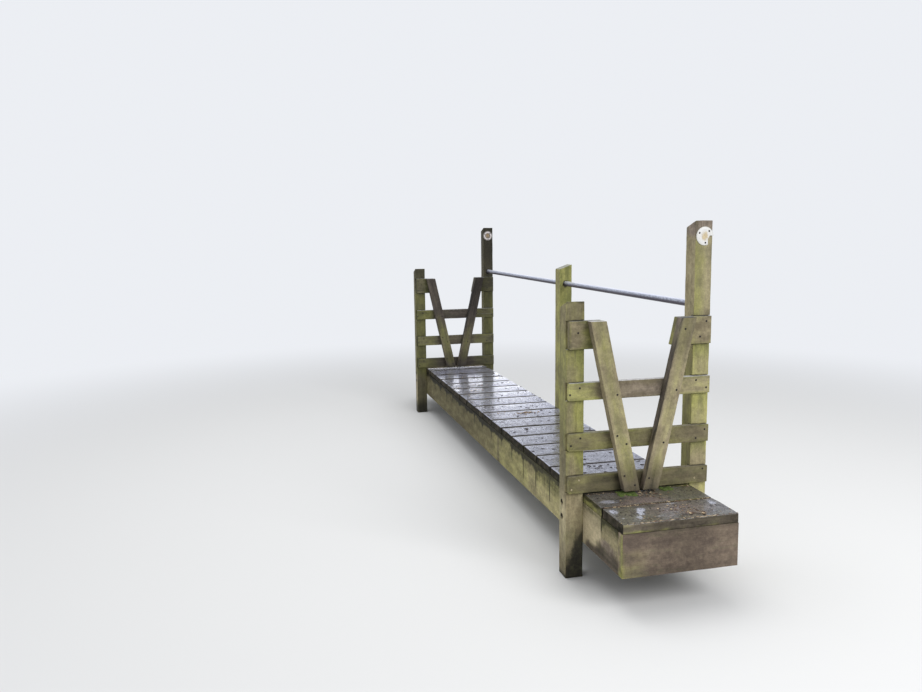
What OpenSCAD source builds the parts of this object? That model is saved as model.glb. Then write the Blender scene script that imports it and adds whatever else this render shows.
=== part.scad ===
// Timber footbridge with a V-shaped step-over stile at each end and a tube handrail on one side.
// Millimetres. +Y runs along the deck, away from the near end, +X to the right, +Z up.
// Origin: on the ground under the middle of the deck, at the height of the post feet.

/* [Deck] */
// Length of a deck board, and so the width between the posts
deck_w = 630; // [450:5:1200]
// Width of one deck board, along the bridge
board_w = 248; // [120:1:300]
// Thickness of a deck board
board_t = 50; // [25:1:75]
// Gap between deck boards
board_gap = 8; // [2:1:15]
// Number of deck boards
board_count = 21; // [12:1:28]

/* [Beams] */
// Depth of the two long beams and of the end boards
beam_h = 225; // [150:1:300]
// Thickness of a long beam
beam_t = 75; // [40:1:120]
// Thickness of the end boards that close the beam ends
end_board_t = 50; // [25:1:75]

/* [Posts] */
// Side of the square posts
post_w = 100; // [75:1:125]
// Height of the deck's top above the feet of the posts
deck_h = 470; // [400:5:800]
// Height of the short posts above the deck
short_post_h = 1040; // [990:5:1150]
// Height of the tall posts above the deck
tall_post_h = 1450; // [1430:5:1700]
// Height of the handrail post's outer side above the tube's middle
rail_post_rise = 149; // [80:1:220]
// How far the sloping post tops fall from one side to the other
top_fall = 36; // [10:1:60]
// Distance of the handrail post's middle from mid-length, towards the near end
rail_post_shift = 106; // [-600:2:600]

/* [Stiles] */
// Deck that is left beyond the posts at each end
stile_inset = 493; // [300:1:700]
// Thickness of the rails
rail_t = 38; // [32:1:50]
// How deep the rails are let into the posts
housing = 18; // [8:1:25]
// Play of a rail in its housing, above and below together
housing_play = 2; // [1:0.5:4]
// Width of the three full rails
rail_w = 95; // [75:1:120]
// How far the rails stop short of the posts' outer faces, on the mean of both ends
rail_inset = 6; // [5:1:20]
// Set of the rails towards the right
rail_shift = 4; // [0:1:5]
// Width of the top rail stubs
top_rail_w = 150; // [100:1:175]
// Height of the lowest rail above the deck, on its lower edge
rail_1_z = 9; // [4:1:30]
// Height of the middle rail above the deck, on its lower edge
rail_2_z = 242; // [215:1:270]
// Height of the upper rail above the deck, on its lower edge
rail_3_z = 515; // [480:1:560]
// Depth of the top rail stubs' upper edge below the tops of the short posts
top_rail_drop = 102; // [60:1:130]

/* [Stile legs] */
// Width of the leaning legs, across the grain
leg_w = 88; // [60:1:100]
// Thickness of the leaning legs
leg_t = 50; // [32:1:60]
// Middle of a leg at its top, from the middle of the V
leg_top_x = 258; // [220:1:262]
// Middle of a leg at its foot, from the middle of the V
leg_foot_x = 54; // [50:1:90]
// Height of the legs' feet above the deck
leg_foot_z = 12; // [5:1:40]
// Set of the whole V towards the left
leg_shift = 7; // [0:1:10]
// How far the top rail stubs stop short of the legs' inner edges
stub_setback = 4; // [1:1:15]

/* [Handrail] */
// Outside diameter of the tube
tube_d = 38; // [30:1:50]
// Wall of the tube
tube_wall = 3.2; // [2:0.2:5]
// Height of the tube's middle above the deck
tube_z = 995; // [970:1:1020]
// Depth of the blind seats in the end posts
tube_seat = 60; // [30:1:80]
// Play of the tube in its holes, on the diameter
tube_play = 0.5; // [0.2:0.1:0.5]

/* [Bolt pockets] */
// Diameter of the pockets sunk for the bolts through the posts
pocket_d = 32; // [24:1:40]
// Depth of the bolt pockets
pocket_depth = 14; // [8:1:20]
// Depth of the upper bolt below the deck's top
pocket_upper_z = 58; // [56:1:80]
// Distance of the bolts from a post's front face
pocket_set = 60; // [35:1:65]
// Distance between the two bolts of a post
pocket_pitch = 80; // [60:1:100]

/* [Marker discs] */
// Diameter of the marker discs
disc_d = 100; // [80:1:100]
// Thickness of the marker discs
disc_t = 3; // [2:0.5:6]
// Depth of the discs' middle below the tops of the tall posts
disc_drop = 84; // [60:1:120]
// Set of the near disc to the right of its post's middle, and of the far disc to the left
disc_shift = 3; // [0:1:5]

/* [Hidden] */
$fn = 96;
eps = 1;
side_x = deck_w / 2;
post_x = side_x + post_w / 2;
deck_z = deck_h;
board_pitch = board_w + board_gap;
deck_l = board_count * board_pitch - board_gap;
end_y = deck_l / 2;
near_y = -end_y + stile_inset;
far_y = end_y - stile_inset - post_w;
rail_post_y = -rail_post_shift - post_w / 2;
beam_top_z = deck_z - board_t;
beam_z = beam_top_z - beam_h;
rail_l = deck_w + 2 * (post_w - rail_inset);
rail_post_h = tube_z + rail_post_rise;
disc_z = tall_post_h - disc_drop;
rail_face_y = housing - rail_t;
leg_face_y = rail_face_y - leg_t;
leg_top_z = short_post_h - top_rail_drop;
top_rail_z = leg_top_z - top_rail_w;
leg_lean = atan((leg_top_x - leg_foot_x) / (leg_top_z - leg_foot_z));
leg_cut_w = leg_w / cos(leg_lean);
full_rails = [[rail_1_z, rail_w], [rail_2_z, rail_w], [rail_3_z, rail_w]];
all_rails = concat(full_rails, [[top_rail_z, top_rail_w]]);
tube_hole_d = tube_d + tube_play;
post_color = [0.60, 0.57, 0.40];
rail_color = [0.55, 0.54, 0.33];
leg_color = [0.58, 0.54, 0.42];
deck_color = [0.47, 0.47, 0.50];
beam_color = [0.50, 0.49, 0.33];
tube_color = [0.55, 0.55, 0.58];
disc_color = [0.88, 0.87, 0.83];

// Long beam on edge, under one side of the deck. side is -1 on the left and 1 on the right.
module beam(side) {
    length = deck_l - 2 * end_board_t;
    color(beam_color)
        translate([side * (side_x - beam_t / 2) - beam_t / 2, -length / 2, beam_z])
            cube([beam_t, length, beam_h]);
}

// Board that closes the beam ends. side is -1 at the near end and 1 at the far end.
module end_board(side) {
    color(beam_color)
        translate([-side_x, side * (end_y - end_board_t / 2) - end_board_t / 2, beam_z])
            cube([deck_w, end_board_t, beam_h]);
}

// Deck board number i, counted from the near end.
module deck_board(i) {
    color(deck_color)
        translate([-side_x, -end_y + (i - 1) * board_pitch, deck_z - board_t])
            cube([deck_w, board_w, board_t]);
}

// Bare post standing on z = foot, with a sloping top: high at the front, or at the outer side.
module post_blank(foot, top, slope_side) {
    if (slope_side)
        translate([0, post_w, 0])
            rotate([90, 0, 0])
                linear_extrude(post_w)
                    polygon([[0, foot], [post_w, foot], [post_w, top], [0, top - top_fall]]);
    else
        rotate([90, 0, 90])
            linear_extrude(post_w)
                polygon([[0, foot], [post_w, foot], [post_w, top - top_fall], [0, top]]);
}

// Housings for the rails, cut into a stile post's front face.
module rail_housings() {
    for (rail = all_rails)
        translate([-eps, -eps, deck_z + rail[0] - housing_play / 2])
            cube([post_w + 2 * eps, housing + eps, rail[1] + housing_play]);
}

// Pockets for the two bolts that hold a post to its beam, sunk into the outer face.
module bolt_pockets(side) {
    outer_x = side < 0 ? 0 : post_w;
    for (k = [0, 1])
        translate([outer_x + side * eps, pocket_set, deck_z - pocket_upper_z - k * pocket_pitch])
            rotate([0, -side * 90, 0])
                cylinder(h = pocket_depth + eps, d = pocket_d);
}

// Post of a stile. side is -1 on the left and 1 on the right, y is its front face.
module stile_post(side, y, height) {
    color(post_color)
        translate([side * post_x - post_w / 2, y, 0])
            difference() {
                post_blank(0, deck_z + height, false);
                rail_housings();
                bolt_pockets(side);
                if (side > 0) tube_seat_hole(y < 0);
            }
}

// Blind hole for the tube's end, in the back face of the near post or the front face of the far one.
module tube_seat_hole(near) {
    y0 = near ? post_w - tube_seat : -eps;
    translate([post_w / 2, y0, deck_z + tube_z])
        rotate([-90, 0, 0])
            cylinder(h = tube_seat + eps, d = tube_hole_d);
}

// Middle post that only carries the handrail: it ends at the beam's underside.
module handrail_post() {
    color(post_color)
        translate([side_x, rail_post_y, 0])
            difference() {
                post_blank(beam_z, deck_z + rail_post_h, true);
                bolt_pockets(1);
                translate([post_w / 2, -eps, deck_z + tube_z])
                    rotate([-90, 0, 0])
                        cylinder(h = post_w + 2 * eps, d = tube_hole_d);
            }
}

// One length of tube from the near tall post to the far one, through the middle post.
module handrail_tube() {
    start = near_y + post_w - tube_seat;
    length = far_y + tube_seat - start;
    color(tube_color)
        translate([post_x, start, deck_z + tube_z])
            rotate([-90, 0, 0])
                difference() {
                    cylinder(h = length, d = tube_d);
                    translate([0, 0, -eps])
                        cylinder(h = length + 2 * eps, d = tube_d - 2 * tube_wall);
                }
}

// Where a rail ends on the left (side -1) or right (side 1).
function rail_end_x(side) = side * rail_l / 2 + rail_shift;

// Full rail number i of a stile whose posts' front faces are at y. 1 is the lowest.
module full_rail(i, y) {
    rail = full_rails[i - 1];
    color(rail_color)
        translate([rail_end_x(-1), y + rail_face_y, deck_z + rail[0]])
            cube([rail_l, rail_t, rail[1]]);
}

// Middle of a leg at height z above the deck.
function leg_x(side, z) =
    side * (leg_foot_x + (z - leg_foot_z) * tan(leg_lean)) - leg_shift;

// Top rail stubs: from each post to just short of its leg's inner edge, cut to the leg's lean.
module top_rails(y) {
    low = top_rail_z;
    high = leg_top_z;
    reach = leg_cut_w / 2 - stub_setback;
    color(rail_color)
        translate([0, y + housing, deck_z])
            rotate([90, 0, 0])
                linear_extrude(rail_t)
                    for (side = [-1, 1])
                        polygon([
                            [rail_end_x(side), low],
                            [leg_x(side, low) - side * reach, low],
                            [leg_x(side, high) - side * reach, high],
                            [rail_end_x(side), high],
                        ]);
}

// Leaning leg on the rails' front faces, with level cuts at its foot and top.
module leg(side, y) {
    half = leg_cut_w / 2;
    foot = leg_x(side, leg_foot_z);
    top = leg_x(side, leg_top_z);
    color(leg_color)
        translate([0, y + rail_face_y, deck_z])
            rotate([90, 0, 0])
                linear_extrude(leg_t)
                    polygon([
                        [foot - half, leg_foot_z],
                        [foot + half, leg_foot_z],
                        [top + half, leg_top_z],
                        [top - half, leg_top_z],
                    ]);
}

// Whole marker disc, standing on the front face of the post at y.
module disc(y, shift) {
    color(disc_color)
        translate([post_x + shift, y, deck_z + disc_z])
            rotate([90, 0, 0])
                cylinder(h = disc_t, d = disc_d);
}

// Outline of the piece that has broken off the near disc, from the disc's middle.
module broken_piece() {
    r = disc_d / 2;
    polygon([
        [r * 1.1, 0],
        [r * 0.58, r * 0.06],
        [r * 0.36, -r * 0.36],
        [r * 0.38, -r * 1.1],
        [r * 1.1, -r * 1.1],
    ]);
}

module near_disc() {
    difference() {
        disc(near_y, disc_shift);
        translate([post_x + disc_shift, near_y + eps, deck_z + disc_z])
            rotate([90, 0, 0])
                linear_extrude(disc_t + 2 * eps)
                    broken_piece();
    }
}

beam(-1);  // beam_left
beam(1);  // beam_right
end_board(-1);  // end_board_near
end_board(1);  // end_board_far
for (i = [1:board_count])
    deck_board(i);
stile_post(-1, near_y, short_post_h);  // post_near_left
stile_post(1, near_y, tall_post_h);  // post_near_right
stile_post(-1, far_y, short_post_h);  // post_far_left
stile_post(1, far_y, tall_post_h);  // post_far_right
handrail_post();  // post_handrail
handrail_tube();
for (i = [1:3]) {
    full_rail(i, near_y);
    full_rail(i, far_y);
}
top_rails(near_y);  // near_top_rails
top_rails(far_y);  // far_top_rails
leg(-1, near_y);  // near_leg_left
leg(1, near_y);  // near_leg_right
leg(-1, far_y);  // far_leg_left
leg(1, far_y);  // far_leg_right
near_disc();  // disc_near
disc(far_y, -disc_shift);  // disc_far
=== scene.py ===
"""Looks of the timber footbridge: weathered timber with algae, a wet deck and a metal tube handrail.

Metres, in the CAD's frame: +Y along the deck, away from the near end, +X to the right, +Z up.
"""

import math

import bmesh
import bpy
import numpy as np
from mathutils import Matrix, Vector

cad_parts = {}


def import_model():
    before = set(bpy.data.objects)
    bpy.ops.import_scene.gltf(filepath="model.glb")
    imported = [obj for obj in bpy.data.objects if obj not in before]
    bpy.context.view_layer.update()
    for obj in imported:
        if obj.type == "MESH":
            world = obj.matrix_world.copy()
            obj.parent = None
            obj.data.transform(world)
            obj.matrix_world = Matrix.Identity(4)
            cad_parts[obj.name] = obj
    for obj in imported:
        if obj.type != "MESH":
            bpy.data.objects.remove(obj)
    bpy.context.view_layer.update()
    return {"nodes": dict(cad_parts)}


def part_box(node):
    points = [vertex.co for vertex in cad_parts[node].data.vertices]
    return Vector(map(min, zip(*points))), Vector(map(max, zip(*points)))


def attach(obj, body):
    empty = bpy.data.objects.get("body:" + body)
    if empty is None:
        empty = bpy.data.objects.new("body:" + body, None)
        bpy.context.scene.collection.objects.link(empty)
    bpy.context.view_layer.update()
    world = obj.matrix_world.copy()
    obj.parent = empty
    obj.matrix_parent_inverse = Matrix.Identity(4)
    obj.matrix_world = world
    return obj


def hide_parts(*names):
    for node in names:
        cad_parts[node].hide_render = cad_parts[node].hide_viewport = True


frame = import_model()

# Places that the pieces share, all from the frame
BOARDS = sum(name.startswith("deck_board_") for name in frame["nodes"])
BOARD_LO, BOARD_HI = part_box("deck_board_1")
SECOND_BOARD_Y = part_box("deck_board_2")[0].y
DECK_Z = BOARD_HI.z
SIDE_X = BOARD_HI.x
BOARD_PITCH = SECOND_BOARD_Y - BOARD_LO.y
BOARD_GAP = SECOND_BOARD_Y - BOARD_HI.y
STEP_GAP_Y = BOARD_HI.y + BOARD_GAP / 2
BEAM_TOP_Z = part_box("beam_left")[1].z
POST_LO, POST_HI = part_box("post_near_left")
POST_W = POST_HI.x - POST_LO.x
POST_X = SIDE_X + POST_W / 2
NEAR_Y = POST_LO.y
FAR_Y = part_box("post_far_left")[0].y
STILES = {"near": NEAR_Y, "far": FAR_Y}
RAIL_LO, RAIL_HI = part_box("near_rail_1")
RAIL_FACE_Y = RAIL_LO.y - NEAR_Y
RAIL_BACK_Y = RAIL_HI.y - NEAR_Y
LEG_FACE_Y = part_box("near_leg_left")[0].y - NEAR_Y
TUBE_LO, TUBE_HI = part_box("handrail_tube")
TUBE_Z = (TUBE_LO.z + TUBE_HI.z) / 2
TUBE_R = (TUBE_HI.z - TUBE_LO.z) / 2


# Shader helper

def linear(colour):
    """A colour as a screen shows it, 0 to 255, as linear red, green, blue and alpha.

    A colour that a node puts out stays as it is.
    """
    if isinstance(colour, bpy.types.NodeSocket):
        return colour
    parts = [c / 255 for c in colour]
    return tuple(c / 12.92 if c <= 0.04045 else ((c + 0.055) / 1.055) ** 2.4 for c in parts) + (1,)


class Shader:
    """Builds the nodes of a material or of the world."""

    def __init__(self, owner):
        owner.use_nodes = True
        self.owner = owner
        self.tree = owner.node_tree
        self.tree.nodes.clear()

    def add(self, kind, sockets=None, **settings):
        """A new node. Each socket takes a value or another node's output."""
        node = self.tree.nodes.new("ShaderNode" + kind)
        for key, value in settings.items():
            setattr(node, key, value)
        for key, value in (sockets or {}).items():
            if isinstance(value, bpy.types.NodeSocket):
                self.tree.links.new(value, node.inputs[key])
            else:
                node.inputs[key].default_value = value
        return node

    def math(self, operation, *values, clamp=False):
        return self.add("Math", dict(enumerate(values)), operation=operation, use_clamp=clamp).outputs[0]

    def times(self, first, second):
        return self.math("MULTIPLY", first, second)

    def line(self, value, slope, offset, clamp=False):
        """The value times slope, plus offset."""
        return self.math("MULTIPLY_ADD", value, slope, offset, clamp=clamp)

    def blend(self, *parts):
        """Weighted sum of (value, weight) pairs."""
        total = self.times(*parts[0])
        for value, weight in parts[1:]:
            total = self.line(value, weight, total)
        return total

    def mix(self, factor, first, second):
        sockets = {0: factor, 6: linear(first), 7: linear(second)}
        return self.add("Mix", sockets, data_type="RGBA").outputs[2]

    def shaded(self, colour, strength):
        return self.add("VectorMath", {0: colour, "Scale": strength}, operation="SCALE").outputs[0]

    def place(self):
        return self.add("TexCoord").outputs["Object"]

    def height(self, vector):
        return self.add("SeparateXYZ", {"Vector": vector}).outputs[2]

    def upward(self):
        """How much the surface faces up, from -1 to 1."""
        return self.height(self.add("NewGeometry").outputs["Normal"])

    def kept(self, name, output="Vector"):
        """What each vertex keeps under this name."""
        return self.add("Attribute", attribute_name=name).outputs[output]

    def marks(self):
        """The four marks that each vertex keeps."""
        node = self.add("Attribute", attribute_name="marks")
        parts = self.add("SeparateColor", {"Color": node.outputs["Color"]}).outputs
        return (*parts[:3], node.outputs["Alpha"])

    def noise(self, vector, scale, detail, roughness=0.5):
        """Noise from 0 to 1. The scale is one number, or one for each axis."""
        if isinstance(scale, tuple):
            vector = self.add("VectorMath", {0: vector, 1: scale}, operation="MULTIPLY").outputs[0]
            scale = 1
        sockets = {"Vector": vector, "Scale": scale, "Detail": detail, "Roughness": roughness}
        return self.add("TexNoise", sockets).outputs[0]

    def ramp(self, value, low, high, start=0, end=1):
        """Goes smoothly from start to end as value goes from low to high."""
        sockets = {"Value": value, "From Min": low, "From Max": high, "To Min": start, "To Max": end}
        return self.add("MapRange", sockets, interpolation_type="SMOOTHSTEP").outputs[0]

    def cover(self, amount, noise, strength=1.6):
        """Turns an amount from 0 to 1 into patches that cover about that share of the surface."""
        return self.ramp(self.math("ADD", amount, self.line(noise, strength, -strength / 2)), 0.15, 0.85)

    def bump(self, height, distance, strength):
        return self.add("Bump", {"Height": height, "Distance": distance, "Strength": strength}).outputs[0]

    def surface(self, **sockets):
        """Ends the material with a Principled shader and returns the material."""
        named = {key.replace("_", " ").title().replace("Ior", "IOR"): sockets[key] for key in sockets}
        self.add("OutputMaterial", {"Surface": self.add("BsdfPrincipled", named).outputs[0]})
        return self.owner


def new_material(name):
    """The shader of a new material, and the place on the object that it shades."""
    s = Shader(bpy.data.materials.new(name))
    return s, s.place()


# Materials

def grain_lines(s, wood):
    """Fine fibres, lengthwise streaks, soft broad bands and sparse dark lines, each from 0 to 1."""
    fibre = s.noise(wood, (420, 420, 12), 3, 0.6)
    streak = s.noise(wood, (75, 75, 3), 3, 0.55)
    bands = s.noise(wood, (24, 24, 1.5), 2)
    lines = s.ramp(s.noise(wood, (260, 260, 7), 2), 0.62, 0.74)
    flecks = s.ramp(s.noise(wood, (120, 120, 28), 2, 0.6), 0.69, 0.76)
    return fibre, streak, bands, s.math("MAXIMUM", lines, flecks)


def weathered_timber(name, light, dark, depth=1, top_sheen=0.9, grain=1, shine=0.3, patchy=1.5):
    """Bare outdoor timber. Its vertices say how much algae, wetness, bleaching and greying it has.

    A depth under 1 darkens all but the bleached parts, as painted shade. top_sheen is how much painted
    sheen, a pale painted reflection, lies on the wet tops, grain how much the fibres show, shine how much
    the timber mirrors, and patchy how ragged the growth is. The wetness also carries painted shade, the
    bleaching some painted light, and each vertex's tone painted light and shade besides the timber's own
    lightness.
    """
    def deep(*colour):
        return [c * depth for c in colour]

    s, place = new_material(name)
    wood = s.kept("wood")
    # wet holds wetness and painted shade, pale the bleaching and some painted light
    algae, wet, pale, grey = s.marks()
    fibre, streak, bands, lines = grain_lines(s, wood)
    cloud = s.noise(place, 7, 4, 0.6)
    mottle = s.noise(place, 45, 5, 0.7)
    grit = s.noise(place, 260, 2, 0.7)
    swell = s.noise(wood, (20, 20, 7), 3)
    flecks = s.noise(wood, (190, 190, 34), 4, 0.7)
    soft = s.blend((bands, 0.2), (cloud, 0.35), (swell, 0.3), (flecks, 0.15))
    share = 0.4 * grain
    fine = s.blend((streak, share), (swell, 0.3), (cloud, 0.35 - share / 2), (mottle, 0.35 - share / 2))

    colour = s.mix(s.ramp(fine, 0.38, 0.62), deep(*dark), deep(*light))
    colour = s.mix(s.times(s.cover(pale, soft, 2), 0.8), colour, (170, 158, 130))
    greys = s.mix(s.ramp(fine, 0.4, 0.6), deep(92, 82, 76), deep(124, 112, 102))
    colour = s.mix(s.times(s.cover(grey, soft, 2.2), 0.85), colour, greys)
    stain = s.noise(wood, (15, 15, 5), 4, 0.65)
    colour = s.mix(s.ramp(stain, 0.53, 0.66, 0, 0.28), colour, deep(98, 100, 74))
    greens = s.mix(s.ramp(soft, 0.42, 0.58), deep(114, 117, 62), deep(143, 142, 78))
    growth = s.times(s.cover(algae, soft, patchy), s.ramp(flecks, 0.3, 0.62, 0.72, 0.88))
    colour = s.mix(growth, colour, greens)
    # Near black where wet, and where painted shade lies in joints, hollows and gaps
    soak_and_shade = s.cover(wet, s.blend((mottle, 0.6), (bands, 0.4)), 2.2)
    soak_and_shade = s.times(soak_and_shade, s.ramp(wet, 0, 0.12))
    black = s.mix(s.ramp(mottle, 0.4, 0.62), (27, 25, 20), (52, 51, 36))
    colour = s.mix(s.times(soak_and_shade, 0.92), colour, black)

    shade = s.line(mottle, 0.85, 0.58)
    for value, slope, offset in ((swell, 0.55, 0.725), (flecks, 0.5, 0.75), (grit, 0.8, 0.61),
                                 (fibre, 0.26 * grain, 1 - 0.13 * grain), (lines, -0.26 * grain, 1)):
        shade = s.times(shade, s.line(value, slope, offset))
    shade = s.times(shade, s.ramp(grit, 0.64, 0.76, 1, 0.45))
    # Each vertex's tone: the timber's own lightness, with painted light and shade
    colour = s.shaded(colour, s.times(shade, s.kept("tone", "Fac")))

    # Painted sheen: a pale painted reflection on upward faces out in the open, weaker where wet or painted
    # shade lies
    open_air = s.ramp(s.height(place), DECK_Z + 0.4, DECK_Z + 0.55, 0.15, 1)
    film = s.times(s.ramp(s.upward(), 0.55, 0.95), s.ramp(mottle, 0.3, 0.6, 0.4 * top_sheen, top_sheen))
    film = s.times(film, s.math("SUBTRACT", open_air, wet, clamp=True))
    colour = s.mix(film, colour, (178, 178, 180))

    height = s.blend((fibre, 0.5), (streak, 0.5), (lines, -0.5), (grit, -0.25))
    rough = s.math("SUBTRACT", s.line(soak_and_shade, -0.15, 0.82), s.times(film, 0.3))
    return s.surface(base_color=colour, roughness=rough, specular_ior_level=shine,
                     normal=s.bump(height, 0.0014 * (0.4 + 0.6 * grain), 0.45))


def wet_board(name, light, dark, painted_reflection, muck, coat, coat_roughness, coat_ior, crumbs=0):
    """Top of the deck boards, under a film of rainwater. Crumbs is how much pale dirt lies on it.
    Paler places carry a painted reflection, and the edges painted shade.
    """
    s, place = new_material(name)
    moss, mud, pale, edge = s.marks()
    fibre, streak, bands, lines = grain_lines(s, s.kept("wood"))
    patch = s.noise(place, 5, 5, 0.62)
    blotch = s.noise(place, (16, 30, 16), 5, 0.7)
    grit = s.noise(place, (70, 130, 70), 4, 0.75)
    tone = s.blend((streak, 0.35), (bands, 0.25), (blotch, 0.4))
    colour = s.mix(s.ramp(tone, 0.38, 0.62), dark, light)
    # Painted reflection of the sky where the top is paler and wetter
    colour = s.mix(s.times(s.cover(pale, blotch), 0.85), colour, painted_reflection)
    stain = s.noise(place, (9, 22, 9), 3, 0.6)
    colour = s.mix(s.ramp(stain, 0.58, 0.7, 0, 0.6), colour, (72, 54, 44))
    colour = s.mix(s.times(s.cover(mud, blotch), 0.9), colour, muck)
    colour = s.mix(s.times(s.cover(moss, patch), 0.85), colour, (86, 87, 62))
    if crumbs:
        dust = s.noise(place, 90, 4, 0.75)
        colour = s.shaded(colour, s.line(dust, 1.5, 0.25))
        crumb = s.ramp(s.noise(place, 190, 2, 0.6), 0.57, 0.65, 0, crumbs)
        colour = s.mix(crumb, colour, (176, 162, 146))

    spots = s.ramp(s.noise(place, (34, 17, 34), 3, 0.65), 0.59, 0.66)
    dull = s.ramp(s.noise(place, (42, 20, 42), 4, 0.7), 0.47, 0.6)
    drops = s.ramp(s.noise(place, (150, 62, 150), 3, 0.7), 0.5, 0.58, 0, 0.8)
    clear = s.line(pale, -0.55, 1.15, clamp=True)
    dull = s.times(s.math("MAXIMUM", dull, drops), clear)
    specks = s.times(s.math("MAXIMUM", s.ramp(grit, 0.545, 0.62), spots), clear)
    # Dull patches, dark specks and grain lines, and painted shade along the edges by the gaps
    for amount, share, over in ((dull, 0.35, (62, 56, 56)), (specks, 0.85, (36, 30, 27)),
                                (lines, 0.5, (34, 31, 30)), (edge, 0.9, (30, 27, 25))):
        colour = s.mix(s.times(amount, share), colour, over)

    film = s.noise(place, (4, 11, 4), 4, 0.6)
    rough = s.blend((s.ramp(film, 0.35, 0.65, 0.22, 0.44), 1), (mud, 0.3), (pale, -0.3),
                    (s.math("MAXIMUM", specks, edge), 0.3))
    height = s.blend((fibre, 0.3), (streak, 0.45), (lines, -0.4), (specks, -0.4))
    ripple = s.blend((film, 1), (blotch, 0.35), (specks, -0.3))
    matt = s.math("MAXIMUM", specks, s.times(dull, 0.75))
    gloss = s.times(s.line(pale, 1 - coat, coat), s.line(matt, -0.8, 1))
    return s.surface(base_color=colour, roughness=s.math("MAXIMUM", rough, 0.07), ior=1.5,
                     normal=s.bump(height, 0.0012, 0.5), coat_weight=gloss, coat_ior=coat_ior,
                     coat_roughness=coat_roughness, coat_normal=s.bump(ripple, 0.0045, 0.4))


def grey_tube():
    """Dull galvanised tube, with a painted highlight on top and painted shade below."""
    s, place = new_material("dull_tube")
    up = s.upward()
    mottle = s.noise(place, (150, 60, 150), 4, 0.65)
    colour = s.mix(s.ramp(mottle, 0.38, 0.62), (140, 144, 156), (192, 196, 206))
    # Painted shade on the underside, with a ragged edge
    grime = s.ramp(s.math("ADD", up, s.line(mottle, 0.4, -0.2)), -0.2, 0.6, 1, 0)
    # Painted highlight along the top
    colour = s.mix(s.ramp(up, 0.66, 0.95, 0, 0.85), colour, (234, 236, 246))
    colour = s.mix(s.times(grime, 0.95), colour, (66, 58, 70))
    rough = s.ramp(mottle, 0.3, 0.7, 0.3, 0.46)
    return s.surface(base_color=colour, metallic=0.5, roughness=rough, normal=s.bump(mottle, 0.0006, 0.4))


def disc_plastic():
    """White plastic disc with a faded yellow middle and some dirt. It carries no sign."""
    s, place = new_material("disc_plastic")
    radius, dark_spot, tall = s.add("SeparateXYZ", {"Vector": s.kept("spot")}).outputs
    cloud = s.noise(place, 70, 4, 0.6)
    ragged = s.math("ADD", tall, s.line(cloud, 0.024, -0.012))
    crumb = s.noise(place, 260, 3, 0.7)
    worn = s.mix(s.ramp(crumb, 0.42, 0.6), (196, 174, 112), (146, 116, 66))
    spot = s.mix(dark_spot, worn, (112, 86, 36))
    inside = s.times(s.ramp(ragged, 0.011, 0.025, 1, 0), s.line(dark_spot, 0.2, 0.75))
    plate = s.mix(dark_spot, (206, 205, 203), (190, 184, 184))
    colour = s.mix(inside, plate, spot)
    colour = s.mix(s.ramp(cloud, 0.52, 0.75, 0, 0.4), colour, (170, 166, 140))
    rim = s.times(s.ramp(radius, 0.042, 0.05, 0, 0.3), s.line(dark_spot, -1, 1))
    ring = s.times(s.ramp(tall, 0.0135, 0.0165), s.ramp(tall, 0.0195, 0.0225, 1, 0))
    ring = s.times(ring, s.ramp(cloud, 0.42, 0.52, 0.25, 1))
    dirt = s.times(s.math("MAXIMUM", ring, s.ramp(radius, 0.0285, 0.0315, 0, 0.85)), dark_spot)
    grime = s.mix(dark_spot, (150, 150, 128), (60, 55, 44))
    colour = s.mix(s.math("MAXIMUM", rim, dirt), colour, grime)
    return s.surface(base_color=colour, roughness=0.42, normal=s.bump(cloud, 0.0004, 0.3))


def rusty_steel(name, dark, light):
    s, place = new_material(name)
    rust = s.noise(place, 240, 4, 0.65)
    colour = s.mix(s.ramp(rust, 0.38, 0.62), dark, light)
    return s.surface(base_color=colour, metallic=0.2, roughness=s.ramp(rust, 0.3, 0.7, 0.6, 0.85),
                     normal=s.bump(rust, 0.0006, 0.5))


def speckled(name, dark, light, scale=150, spread=0.12, roughness=0.9, bump=(0.001, 0.6)):
    """Moss or dirt in fine specks of two colours."""
    s, place = new_material(name)
    speck = s.noise(place, scale, 3, 0.7)
    colour = s.mix(s.ramp(speck, 0.5 - spread, 0.5 + spread), dark, light)
    return s.surface(base_color=colour, roughness=roughness, normal=s.bump(speck, *bump))


def leaf_litter():
    s, place = new_material("leaf_litter")
    age = s.noise(place, 38, 1)
    colour = s.mix(s.ramp(age, 0.42, 0.58), (104, 80, 64), (182, 162, 130))
    vein = s.noise(place, 420, 2)
    colour = s.mix(s.ramp(vein, 0.5, 0.7, 0, 0.4), colour, (70, 48, 38))
    return s.surface(base_color=colour, roughness=0.6, normal=s.bump(vein, 0.0008, 0.5))


# Each timber's light and dark colour; a wet board's also its painted reflection and its mud
MATERIALS = {
    "post_timber": weathered_timber("post_timber", (148, 138, 108), (122, 112, 86), grain=0.5),
    "rail_timber": weathered_timber("rail_timber", (142, 131, 104), (116, 106, 83), grain=0.4),
    "leg_timber": weathered_timber("leg_timber", (156, 145, 116), (134, 123, 98), grain=0.6),
    "beam_timber": weathered_timber("beam_timber", (146, 137, 106), (120, 112, 86), top_sheen=0, grain=0.3,
                                    shine=0.1, patchy=0.8),
    "deck_timber": wet_board("wet_deck_timber", (84, 82, 88), (48, 46, 48), (160, 162, 180), (92, 82, 74),
                             1, 0.14, 2.2),
    "tube_metal": grey_tube(),
    "disc_plastic": disc_plastic(),
}
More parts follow.
